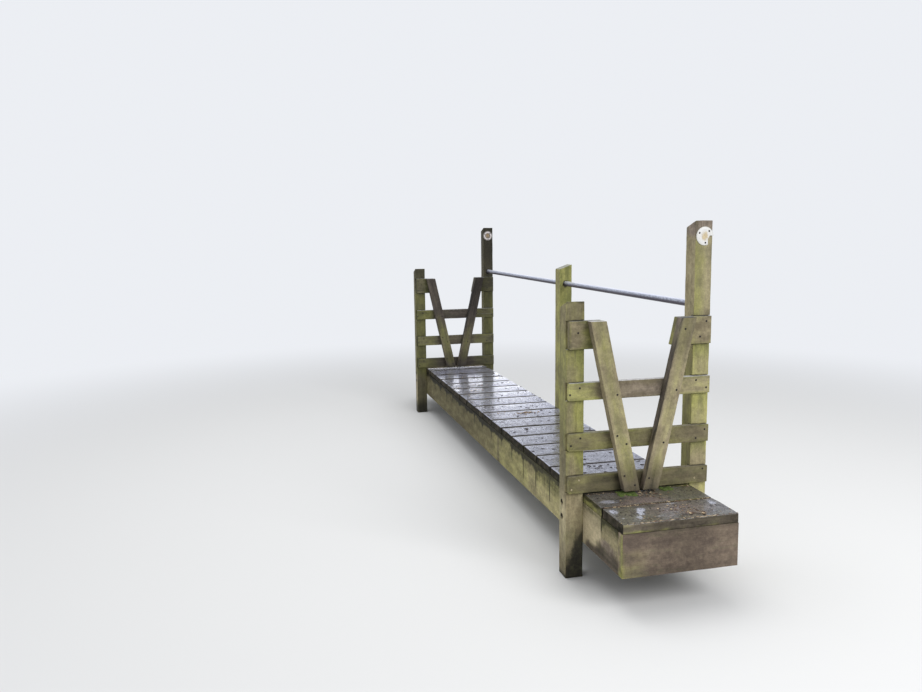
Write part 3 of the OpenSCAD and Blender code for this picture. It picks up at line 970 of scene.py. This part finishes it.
def beam_marks(p, n):
    """Dark runs under the board gaps, a stained rim, and mud at the near end."""
    y, below = p[:, 1] - NEAR_Y, BEAM_TOP_Z - p[:, 2]
    gap = (p[:, 1] - STEP_GAP_Y) / BOARD_PITCH
    number = np.clip(np.round(gap).astype(int), 0, BOARDS)
    off = np.abs(gap - number) * BOARD_PITCH
    reach = np.random.default_rng(7).uniform(0.05, 0.13, BOARDS + 1)
    reach[[3, 4, 5, 6, 10, 14]] = (0.22, 0.21, 0.22, 0.14, 0.12, 0.17)
    drip = fall(off, 0.003, 0.01) * fall(below, 0.6 * reach[number], reach[number])
    edge = 0.045 + 0.03 * waves(p * (0, 1, 0), 0.07, 3) + 0.03 * fall(off, 0, 0.05)
    rim = fall(below, 0.35 * edge, edge)
    run = 0.5 + 0.5 * waves(p * (0, 1, 0.15), 0.04, 9)
    shade = band(y, 0.1, 0.78, 0.03) * fall(below, 0.02, 0.13 + 0.07 * run) * (0.75 + 0.25 * run)
    mud = rise(near_end_tide(y) + 0.016 * waves(p, 0.03, 4) - p[:, 2], -0.03, 0.05) * (y < 0.05)
    strip = band(y, 1.605, 1.655, 0.012)
    cream = band(y, -0.235, 0, 0.008)
    first = y < -0.245
    damp_and_shade = np.max([0.9 * drip, 0.95 * rim * (1 - 0.5 * cream), 0.7 * shade, 0.45 * mud, 0.3 * strip,
                   0.55 * first * fall(below, 0.02, 0.05 + 0.05 * run)], 0)
    grey = 0.8 * strip + 0.35 * first + 0.8 * mud
    algae = 0.44 - 0.37 * cream - 0.17 * first + 0.35 * rim * (y < 0) + 0.2 * shade - 0.4 * mud
    algae = algae - 0.16 * rise(y, 1.4, 2.2) - 0.1 * band(y, 0, 0.9, 0.1)
    tone = np.interp(y, [-0.26, -0.2, 0, 0.3, 0.5, 0.75, 1.1, 1.6, 1.9, 2.4, 4],
                     [1.36, 1.26, 1.28, 1.5, 1.7, 1.38, 1.28, 1.03, 0.76, 0.57, 0.59])
    tone = tone * (0.9 + 0.18 * rise(below, 0.05, 0.14)) * (1 - 0.44 * mud)
    return algae, damp_and_shade, 0.9 * cream * (1 - mud) + 0.15, grey, tone


def end_board_marks(p, n):
    """Algae towards the left corner, and paler end grain, lightened with painted light."""
    x, below = p[:, 0], BEAM_TOP_Z - p[:, 2]
    end_grain = np.abs(n[:, 0]) > 0.6
    strip = np.interp(below, [0, 0.04, 0.09, 0.15, 0.19, 0.22], [0.28, 0.46, 0.42, 0.36, 0.46, 0.56])
    from_front = np.abs(np.abs(p[:, 1]) + END_BOARD_LO.y) / (END_BOARD_HI.y - END_BOARD_LO.y)
    front = 0.05 + 0.32 * fall(x + SIDE_X, 0, 0.25) * rise(below, 0.02, 0.12)
    algae = np.where(end_grain, strip + 0.18 - 0.45 * from_front, front)
    algae = algae + 0.15 * band(x, -SIDE_X, -SIDE_X + 0.008, 0.01)
    damp_and_shade = np.where(end_grain, 0, 0.45 * fall(below, 0, 0.03))
    across = np.interp(x, [-0.315, -0.15, 0.05, 0.2, 0.315], [1.1, 0.93, 0.73, 1.05, 1.16])
    across = across * (1 - 0.12 * fall(below, 0, 0.1) - 0.12 * rise(below, 0.15, 0.22))
    return algae, damp_and_shade, 0.1, 0.1, np.where(end_grain, 1.72 - 0.75 * rise(below, 0.14, 0.2), across)


gap_edges = [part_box(f"deck_board_{number}")[1].y + BOARD_GAP / 2 + off
             for number in range(1, BOARDS) for off in (-0.011, -0.004, 0.004, 0.011)]
for name, seed in (("beam_left", 90), ("beam_right", 91)):
    plain_timber(name, "beam_timber", 1, seed, beam_marks, step=0.018, checks=5, extra=gap_edges)
for name, seed in (("end_board_near", 96), ("end_board_far", 97)):
    plain_timber(name, "beam_timber", 0, seed, end_board_marks, END_BOARD, checks=3)


# Deck boards

# Strip along a board's long edges that is worn matt, and on the deck darkened with painted shade by the gaps
EDGE_W = 0.0065
# Wetter places on the near step, glossier and lightened with painted reflection:
# # middle and half size, across and along, from the stile's line; strength
PUDDLES = [(-0.132, -0.314, 0.021, 0.03, 1), (-0.156, -0.36, 0.018, 0.032, 1),
           (-0.186, -0.416, 0.013, 0.028, 1), (-0.277, -0.306, 0.022, 0.032, 1),
           (-0.27, -0.414, 0.01, 0.008, 1), (0.27, -0.31, 0.022, 0.035, 0.65),
           (0.215, -0.425, 0.014, 0.007, 0.8), (0.06, -0.27, 0.03, 0.008, 0.7),
           (-0.085, -0.425, 0.018, 0.008, 0.8), (-0.23, -0.16, 0.075, 0.034, 0.45)]


def board_marks(number):
    """Moss, mud, paleness and dark edges of a deck board's top, and what a timber has on its sides.

        The paleness marks wetter places lit with painted reflection, the dark edges painted shade.
    """
    low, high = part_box(f"deck_board_{number}")

    def top_growth(x, y):
        """Moss and mud on the top."""
        if number > 2:
            return 0, 0.05 if number < BOARDS - 1 else 0.5
        middle = np.exp(-((x - 0.07) / 0.2) ** 2 - ((y + 0.34) / 0.12) ** 2)
        if number == 1:
            return 0.36 * (1 - 0.7 * middle), 0.12 + 0.5 * middle
        trodden = np.exp(-((x + 0.06) / 0.13) ** 2) * fall(y, -0.19, -0.09)
        return 0.16 + 0.46 * rise(x, -0.02, 0.12) * (1 - 0.5 * middle), 0.26 + 0.5 * middle + 0.45 * trodden

    def marks(p, n):
        x, y, z = p[:, 0], p[:, 1] - NEAR_Y, p[:, 2]
        top, side, front = n[:, 2] > 0.6, np.abs(n[:, 0]) > 0.5, n[:, 1] < -0.5
        to_edge = np.minimum(p[:, 1] - low.y, high.y - p[:, 1])
        # Painted shade along the long edges, by the gaps
        edge = fall(to_edge, 0.004, 0.01)
        moss, mud = top_growth(x, y)
        # Paler further along: wetter, with painted reflection
        pale = 0.4 * rise(y, 0, 0.3) + 0.6 * rise(y, 1.4, 3)
        # Painted highlight along the boards' ends
        if 2 < number < BOARDS - 1:
            pale = np.maximum(pale, fall(SIDE_X - np.abs(x), 0.008, 0.018))
        for x_mid, y_mid, x_half, y_half, strength in PUDDLES:
            off = np.hypot((x - x_mid) / x_half, (y - y_mid) / y_half)
            pale = np.maximum(pale, strength * fall(off, 0.6, 1.3))
        algae = np.where(top, moss, 0.15)
        # Darker ragged end grain; the faces in the gaps nearly black with painted shade
        damp_and_shade = np.where(side, 0.48 + 0.45 * waves(p, (1, 0.035, 0.018), 12), 0.95)
        if number < 3:
            mud = mud * (1 - pale)
            damp_and_shade = np.where(top, 0.3, damp_and_shade)
            edge = edge * 0.35
        damp_and_shade = np.where(top & (to_edge > 0.02), mud, damp_and_shade)
        tone = np.where(side, 0.6, 0.8)
        if number == 1:
            lip = rise(DECK_Z - z, 0.036, 0.044) * (0.5 + 0.5 * waves(p, (0.05, 1, 1), 44))
            left_end = fall(x + SIDE_X, 0.04, 0.2)
            streaks = 0.3 * waves(p, (0.12, 1, 0.03), 8)
            algae = np.where(front, 0.08 + 0.4 * lip + 0.22 * left_end, algae)
            tone = np.where(front, 0.88 + 1.1 * left_end, np.where(side, 0.7, tone))
            damp_and_shade = np.where(front, 0.32 + streaks - 0.3 * lip - 0.1 * left_end, damp_and_shade)
        if number == 2:
            ragged = z + 0.01 * waves(p, (1, 0.03, 1), 14)
            algae = np.where(side, 0.52, algae)
            damp_and_shade = np.where(side, 0.12 + 0.6 * rise(ragged, DECK_Z - 0.026, DECK_Z - 0.01), damp_and_shade)
            tone = np.where(side, 1.25, tone)
        return algae, damp_and_shade, np.where(top, pale, 0), np.where(top, edge, 0), tone
    return marks


def deck_board(number, seed):
    """A slightly crowned board, glossy on top but for its edges and where it lies under a stile."""
    name = f"deck_board_{number}"
    low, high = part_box(name)
    random = np.random.default_rng(seed)
    block_low = (low.x + random.uniform(0, 0.004), low.y + random.uniform(0.0005, 0.0025), low.z)
    block_high = (high.x - random.uniform(0, 0.004), high.y - random.uniform(0.0005, 0.0025), high.z)
    arris = 0.0045 if number < 3 else 0.0062
    points, quads = timber_block(block_low, block_high, 0, seed, arris=arris, step=0.016, checks=2)
    across = (points[:, 1] - low.y) / (high.y - low.y) * 2 - 1
    above = (points[:, 2] - low.z) / (high.z - low.z)
    crown = 0.0004 + random.uniform(0.0006, 0.0016) * across ** 2
    points[:, 2] -= above * (crown + random.uniform(-0.0007, 0.0007) * across)
    obj = mesh_object(name + "_wet", points, quads)
    step = number < 3 or number > BOARDS - 2
    finish_timber(obj, "deck_timber", 0, seed, board_marks(number), name, STEP_BOARD if step else None)
    obj.data.materials.append(BOARD_EDGE)
    front_strip, back_strip = {1: (0, 0.005), 2: (0.005, 0.005)}.get(number, (EDGE_W, EDGE_W))
    for face in obj.data.polygons:
        y = face.center.y
        inside = block_low[1] + front_strip < y < block_high[1] - back_strip
        under_rail = any(-0.03 < y - line < 0.06 for line in STILES.values())
        face.material_index = 0 if face.normal.z > 0.6 and inside and not under_rail else 1


for number in range(1, BOARDS + 1):
    deck_board(number, 200 + number)


# Handrail and marker discs

DISC_R = 0.05

tube = frame["nodes"]["handrail_tube"].data
tube.materials.clear()
tube.materials.append(MATERIALS["tube_metal"])
tube.shade_smooth()


def marker_disc(name, spot_size, darkness):
    """The CAD disc with a softened rim. Each vertex knows how far it is from the middle of the spot."""
    low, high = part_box(name)
    bm = bmesh.new()
    bm.from_mesh(frame["nodes"][name].data)
    bmesh.ops.remove_doubles(bm, verts=bm.verts, dist=1e-6)
    bmesh.ops.dissolve_limit(bm, angle_limit=0.02, verts=bm.verts, edges=bm.edges)
    rim = [e for e in bm.edges if len(e.link_faces) == 2 and e.calc_face_angle() > 1.2]
    bmesh.ops.bevel(bm, geom=rim, offset=0.0006, segments=2, profile=0.5, affect="EDGES")
    bmesh.ops.triangulate(bm, faces=[f for f in bm.faces if len(f.verts) > 4])
    bmesh.ops.subdivide_edges(bm, edges=bm.edges, cuts=2, use_grid_fill=True)
    obj = bmesh_object(name + "_plate", bm)
    points = vertex_rows(obj, "co")
    across, up = points[:, 0] - low.x - DISC_R, points[:, 2] - high.z + DISC_R
    tall = np.hypot(across, up * (0.72 + 0.28 * darkness))
    spot = [np.hypot(across, up) / spot_size, np.full(len(points), darkness), tall / spot_size]
    store(obj, "spot", "FLOAT_VECTOR", np.column_stack(spot))
    smooth(obj)
    finish_piece(obj, MATERIALS["disc_plastic"], name)


marker_disc("disc_near", 1, 0)
marker_disc("disc_far", 1.4, 1)


# Fixings, moss and litter

# How far a nail's rim stands out of the timber
NAIL_PROUD = 0.0004
SCREW_RING_R = 0.036
# Nails in a stile, by how far they are to the right of the middle and above the deck
RAIL_NAILS = [(-0.401, 0.549), (-0.347, 0.583), (-0.342, 0.312), (-0.395, 0.274), (-0.347, 0.082),
              (-0.391, 0.033), (-0.358, 0.875), (0.382, 0.91), (0.346, 0.827), (0.329, 0.589),
              (0.391, 0.545), (0.389, 0.311), (0.336, 0.264), (0.383, 0.087), (0.335, 0.038)]
BRIGHT_NAILS = [(-0.347, 0.082), (-0.391, 0.033), (0.335, 0.038)]
LEG_NAILS = [(-0.156, 0.546), (-0.153, 0.324), (-0.1, 0.276), (-0.109, 0.101), (-0.047, 0.045),
             (0.23, 0.879), (0.186, 0.552), (0.116, 0.268), (0.035, 0.077)]


def revolve(segments, *profile):
    """Points and faces of a closed solid turned about Z from (radius, height) pairs, from bottom to top."""
    turns = [2 * math.pi * i / segments for i in range(segments)]
    points = [(r * math.cos(turn), r * math.sin(turn), height) for r, height in profile for turn in turns]
    faces = []
    for a in range(0, len(points) - segments, segments):
        for i in range(segments):
            j = (i + 1) % segments
            faces.append((a + i, a + j, a + segments + j, a + segments + i))
    faces.append(tuple(reversed(range(segments))))
    faces.append(tuple(range(len(points) - segments, len(points))))
    return np.array(points), faces


def copies(name, shape, places, material, degrees=38):
    """One object of many copies of a shape. Each place is (where, outward direction, spin, scale)."""
    base, faces = shape
    points, joined = [], []
    for where, outward, spin, scale in places:
        turn = UP.rotation_difference(outward) @ Matrix.Rotation(spin, 3, "Z").to_quaternion()
        joined += [tuple(len(points) * len(base) + i for i in face) for face in faces]
        points.append(base * scale @ np.array(turn.to_matrix()).T + np.array(where))
    obj = mesh_object(name, np.concatenate(points), joined)
    smooth(obj, degrees)
    finish_piece(obj, material)


def nail_head(radius):
    return revolve(14, (radius, -0.002), (radius, 0.0004), (radius * 0.8, 0.0011), (radius * 0.35, 0.0014))


def stile_nails(side, seed):
    """Nails through the rails and legs of a stile. A few at the near end are worn bright."""
    random = np.random.default_rng(seed)
    dark, bright = [], []
    for face_y, nails in ((RAIL_FACE_Y, RAIL_NAILS), (LEG_FACE_Y, LEG_NAILS)):
        for x, z in nails:
            where = (x, STILES[side] + face_y + NAIL_PROUD, DECK_Z + z)
            kind = bright if side == "near" and (x, z) in BRIGHT_NAILS else dark
            kind.append((where, FRONT, random.uniform(0, 3), 1))
    copies(f"{side}_stile_nails", nail_head(0.0058), dark, STEEL)
    if bright:
        copies(f"{side}_bright_nails", nail_head(0.005), bright, BRIGHT_STEEL)


def deck_nails():
    """Two nails side by side over each beam and in the middle of each board."""
    random = np.random.default_rng(17)
    places = []
    for number in range(1, BOARDS + 1):
        low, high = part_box(f"deck_board_{number}")
        for middle, half in ((0.055 - SIDE_X, 0.014), (SIDE_X - 0.06, 0.014), (0, 0.028)):
            row_y = low.y + (high.y - low.y) * random.uniform(0.45, 0.72)
            for off in (-half, half):
                x = middle + off + random.uniform(-0.004, 0.004)
                y = row_y + random.uniform(-0.006, 0.006)
                places.append(((x, y, high.z - 0.0012), UP, random.uniform(0, 3), 1))
    copies("deck_nails", nail_head(0.0055), places, STEEL)


def disc_screws():
    """Three screws in each disc."""
    head = revolve(16, (0.005, -0.001), (0.005, 0.0005), (0.0038, 0.0018), (0.0014, 0.002))
    places = []
    for name in ("disc_near", "disc_far"):
        low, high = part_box(name)
        middle = Vector((low.x + DISC_R, low.y, high.z - DISC_R))
        for turn in (math.radians(degrees) for degrees in (152, 46, 276)):
            where = middle + SCREW_RING_R * Vector((math.cos(turn), 0, math.sin(turn)))
            places.append((where, FRONT, turn, 1))
    copies("disc_screws", head, places, STEEL)


def post_bolts():
    """A washer, a nut and the bolt's end at the bottom of each pocket."""
    washer = revolve(28, (0.013, 0), (0.013, 0.0016), (0.0124, 0.002), (0.006, 0.002))
    nut = revolve(6, (0.0095, 0.0015), (0.0105, 0.0025), (0.0105, 0.009), (0.0092, 0.01))
    stud = revolve(18, (0.0058, 0), (0.0058, 0.012), (0.0048, 0.013))
    places = []
    for number, (where, inward) in enumerate(bolt_places):
        into = Vector((inward, 0, 0))
        places.append((where + into * POCKET_DEPTH, -into, 0.4 * number, 1))
    copies("bolt_washers", washer, places, STEEL, degrees=30)
    copies("bolt_nuts", nut, places, NUT_STEEL, degrees=30)
    copies("bolt_ends", stud, places, STEEL, degrees=30)


def rough_mound(seed, fineness=3):
    """A small rounded cushion, about two units across."""
    bm = bmesh.new()
    bmesh.ops.create_icosphere(bm, subdivisions=fineness, radius=1)
    points = np.array([v.co for v in bm.verts])
    faces = [tuple(v.index for v in f.verts) for f in bm.faces]
    bm.free()
    points *= (1 + 0.16 * waves(points, 0.35, seed) + 0.08 * waves(points, 0.15, seed + 1))[:, None]
    points[:, 2] = np.where(points[:, 2] < 0, points[:, 2] * 0.15, points[:, 2])
    return points, faces


def moss(name, low, high, count, seed):
    """Low cushions on the deck between two corners (x, y)."""
    random = np.random.default_rng(seed)
    places = []
    for _ in range(count):
        where = (*random.uniform(low, high), DECK_Z - 0.002)
        size = random.uniform(0.005, 0.013) * np.array([1.5, 1.2, 0.6])
        places.append((where, UP, random.uniform(0, 6), size))
    copies(name, rough_mound(seed), places, MOSS, degrees=80)


def crumb_line(name, lines, material, seed):
    """Crumbs of dirt strewn along X, for each (y, spread, height, count, size)."""
    random = np.random.default_rng(seed)
    places = []
    for y, spread, height, count, size in lines:
        for _ in range(count):
            reach = size * random.uniform(0.5, 1.5)
            limit = -BOARD_LO.y - 2.6 * reach
            where = (random.uniform(-0.97, 0.97) * SIDE_X,
                     np.clip(y + random.uniform(-spread, spread), -limit, limit), height)
            shape = reach * np.array([random.uniform(1, 2.2), 1, 0.6])
            places.append((where, UP, random.normal() * 0.5, shape))
    copies(name, rough_mound(seed, 2), places, material, degrees=80)


def leaf_scrap(seed):
    """A thin curled scrap of leaf, about one unit long."""
    points, quads = box_surface(np.linspace(-1, 1, 7), np.linspace(-1, 1, 5), np.array([0, 1]))
    u, v, side = points.T
    width = 0.42 * np.sqrt(np.clip(1.05 - u ** 2, 0, 1))
    lift = 0.1 * u ** 2 + 0.12 * v ** 2 + 0.06 * waves(points, 0.8, seed)
    return np.column_stack([u * 0.5, v * width, lift + 0.02 * side]), quads


def litter(name, line_y, spots, ends, seed):
    """Leaf scraps and straws on the deck between two ends, round spots of (x, y, spread, count, size).

    A spot's y is counted from a stile's line.
    """
    random = np.random.default_rng(seed)
    places = []
    for x, y, spread, count, size in spots:
        for _ in range(count):
            length = size * random.uniform(0.5, 1.3)
            straw = random.random() < 0.4
            scale = length * np.array([2.4, 0.16, 0.5] if straw else [1, random.uniform(0.5, 1), 0.8])
            reach = length * (1.3 if straw else 0.6)
            where = (np.clip(x + random.normal() * spread, reach - SIDE_X, SIDE_X - reach),
                     np.clip(line_y + y + random.normal() * spread * 0.6, ends[0] + reach, ends[1]),
                     DECK_Z - 0.0004)
            lean = Vector((random.normal() * 0.05, random.normal() * 0.05, 1))
            places.append((where, lean.normalized(), random.uniform(0, 6), scale))
    copies(name, leaf_scrap(seed), places, LITTER, degrees=60)


def step_dirt(name, turn, seed):
    """Dirt in the gap behind an outer board, and crumbs along the edges of that step."""
    gap_y = turn * STEP_GAP_Y
    lines = [(turn * (BOARD_LO.y + 0.006), 0.003, DECK_Z - 0.002, 110, 0.0024),
             (gap_y, 0.009, DECK_Z - 0.002, 90, 0.0024),
             (turn * (NEAR_Y - 0.03), 0.016, DECK_Z - 0.001, 60, 0.0022)]
    crumb_line(f"{name}_gap_dirt", [(gap_y, 0.0035, DECK_Z - 0.0055, 330, 0.0035)], SOIL, seed)
    crumb_line(f"{name}_edge_crumbs", lines, LITTER, seed)


def deck_grit():
    """Grit on the boards between the stiles, most of it on the nearest two."""
    lines = []
    for number in range(3, BOARDS - 1):
        low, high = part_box(f"deck_board_{number}")
        lines.append(((low.y + high.y) / 2, 0.095, DECK_Z - 0.0015, 48 if number < 5 else 11, 0.0052))
    crumb_line("deck_grit", lines, GRIT, 23)


stile_nails("near", 1)
stile_nails("far", 2)
deck_nails()
disc_screws()
post_bolts()
moss("moss_left_foot", (-0.135, NEAR_Y - 0.105), (-0.05, NEAR_Y - 0.03), 46, 5)
moss("moss_right_foot", (0.13, NEAR_Y - 0.07), (0.172, NEAR_Y - 0.025), 18, 6)
litter("step_litter", NEAR_Y, [(0, -0.09, 0.04, 60, 0.012), (-0.12, -0.2, 0.06, 36, 0.008),
                               (0.06, -0.36, 0.06, 44, 0.012), (-0.13, -0.44, 0.04, 14, 0.011),
                               (0.05, -0.21, 0.09, 36, 0.008), (0.1, -0.476, 0.1, 60, 0.008),
                               (-0.12, -0.476, 0.08, 26, 0.007), (0.12, -0.43, 0.025, 7, 0.022)],
       (BOARD_LO.y + 0.004, NEAR_Y - 0.012), 8)
step_dirt("near", 1, 21)
step_dirt("far", -1, 22)
deck_grit()
litter("deck_litter", NEAR_Y, [(0.02, 1.96, 0.04, 44, 0.017), (-0.2, 2.02, 0.04, 6, 0.01),
                               (0.16, 1.15, 0.05, 7, 0.01), (-0.05, 3.22, 0.05, 10, 0.016),
                               (-0.14, 2.94, 0.05, 9, 0.016), (-0.26, 3.13, 0.03, 5, 0.016),
                               (-0.1, 2.7, 0.1, 12, 0.013), (-0.05, 3.7, 0.15, 24, 0.014)],
       (NEAR_Y + 0.1, FAR_Y - 0.1), 9)
litter("far_litter", FAR_Y, [(0.05, 0.03, 0.12, 50, 0.014), (0, 0.18, 0.16, 24, 0.012)],
       (FAR_Y + 0.024, -BOARD_LO.y - 0.01), 10)


# Floor, light and camera

BACKDROP = (0.84, 0.86, 0.9, 1)
# What wet timber mirrors
SKY = (0.75, 0.79, 0.92, 1)
AMBIENT = (0.96, 0.98, 1, 1)
FLOOR = (0.69, 0.69, 0.69, 1)


def floor():
    """A pale disc that turns into the backdrop's colour further out."""
    s, place = new_material("floor")
    distance = s.add("VectorMath", {0: place}, operation="LENGTH").outputs["Value"]
    ground = s.add("BsdfDiffuse", {"Color": FLOOR}).outputs[0]
    far = s.add("Emission", {"Color": BACKDROP, "Strength": 1}).outputs[0]
    both = s.add("MixShader", {0: s.ramp(distance, 3, 8), 1: ground, 2: far}).outputs[0]
    s.add("OutputMaterial", {"Surface": both})
    bm = bmesh.new()
    bmesh.ops.create_circle(bm, cap_ends=True, segments=96, radius=60)
    obj = bmesh_object("floor", bm)
    obj.data.materials.append(s.owner)


def world():
    """Even light, with a colour of its own behind the bridge and another one in its reflections."""
    s = Shader(bpy.data.worlds.new("studio"))
    rays = s.add("LightPath").outputs
    shade = s.add("Background", {"Color": AMBIENT, "Strength": 0.65}).outputs[0]
    for colour, ray in ((SKY, "Glossy"), (BACKDROP, "Transmission"), (BACKDROP, "Camera")):
        seen = s.add("Background", {"Color": colour, "Strength": 1}).outputs[0]
        shade = s.add("MixShader", {0: rays[f"Is {ray} Ray"], 1: shade, 2: seen}).outputs[0]
    s.add("OutputWorld", {"Surface": shade})
    bpy.context.scene.world = s.owner


def area_light(name, place, target, size, watts):
    light = bpy.data.lights.new(name, "AREA")
    light.shape = "ELLIPSE"
    light.size, light.size_y = size
    light.energy = watts
    obj = link(name, light)
    obj.location = place
    obj.rotation_euler = (Vector(target) - Vector(place)).to_track_quat("-Z", "Y").to_euler()
    obj.visible_camera = False


def camera():
    """The photograph's view: place, direction and focal length from a fit of the bridge's corners."""
    place = Vector((-1.9355, NEAR_Y - 3.9245, DECK_Z + 1.3998))
    yaw, pitch, roll = (math.radians(a) for a in (13.661, -7.973, 0.772))
    focal_px, width_px = 807.46, 922
    data = bpy.data.cameras.new("camera")
    data.sensor_width = 36
    data.lens = focal_px / width_px * data.sensor_width
    obj = link("camera", data)
    obj.matrix_world = Matrix.Translation(place)
    for turn, axis in ((-yaw, "Z"), (math.pi / 2 + pitch, "X"), (-roll, "Z")):
        obj.matrix_world = obj.matrix_world @ Matrix.Rotation(turn, 4, axis)
    bpy.context.scene.camera = obj


floor()
world()
area_light("soft_key", (3, -8, 5.5), (0, -0.5, 0.6), (5, 5), 440)
area_light("soft_top", (-1, 0, 7.5), (0, 0.5, 0.5), (6, 6), 260)
area_light("bright_horizon", (5.8, 25, 3.3), (0, 1, 0.5), (7, 4), 80)
camera()
bpy.context.scene.view_settings.view_transform = "Standard"
